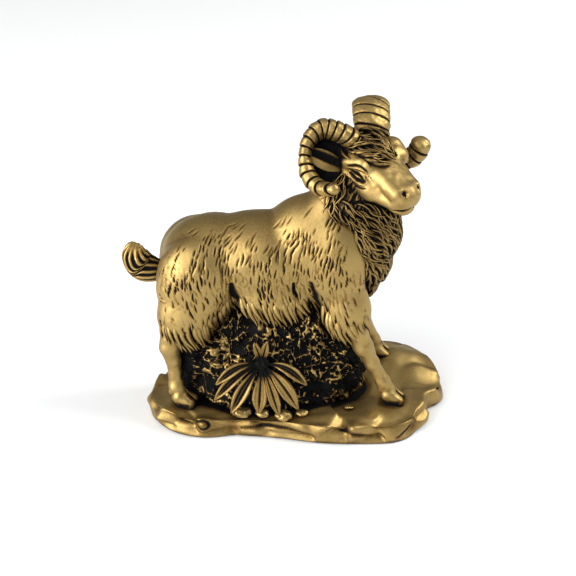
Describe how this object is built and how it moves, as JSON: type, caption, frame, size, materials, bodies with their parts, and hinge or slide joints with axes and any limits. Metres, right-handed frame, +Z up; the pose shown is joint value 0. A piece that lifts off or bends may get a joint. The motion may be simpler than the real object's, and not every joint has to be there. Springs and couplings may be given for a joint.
{
  "type": "ram figurine",
  "caption": "Cast ram with curled ribbed horns standing over brush and a leafy plant on a rock slab, in rubbed antique gold.",
  "frame": {"origin": "middle of the rest face, on the underside of the felt pad, under the middle of the rock base", "axes": "+X the way the ram's body faces, -Y the side that its head turns to, +Z up"},
  "size_m": [0.1063, 0.0516, 0.1049],
  "materials": {
    "antique_gold": "antique gold rubbed over a black wash, satin",
    "steel": "drawn wire",
    "felt": "pressed felt"
  },
  "bodies": {
    "root": {"felt_pad": "felt", "rock_base": "antique_gold", "thicket": "antique_gold", "pebbles": "antique_gold", "torso": "antique_gold", "neck_mane": "antique_gold", "head": "antique_gold", "forelock": "antique_gold", "horn_near": "antique_gold", "horn_far": "antique_gold", "ear_near": "antique_gold", "ear_far": "antique_gold", "tail": "antique_gold", "foreleg_near": "antique_gold", "foreleg_far": "antique_gold", "hind_leg_near": "antique_gold", "hind_leg_far": "antique_gold", "leaf_crown": "antique_gold", "leaf_1": "antique_gold", "leaf_2": "antique_gold", "leaf_3": "antique_gold", "leaf_4": "antique_gold", "leaf_5": "antique_gold", "leaf_6": "antique_gold", "leaf_7": "antique_gold", "leaf_8": "antique_gold", "leaf_9": "antique_gold", "foreleg_wires": "steel", "hind_leg_wires": "steel", "neck_dowel": "steel", "horn_pins": "steel", "tail_pin": "steel"}
  },
  "joints": []
}
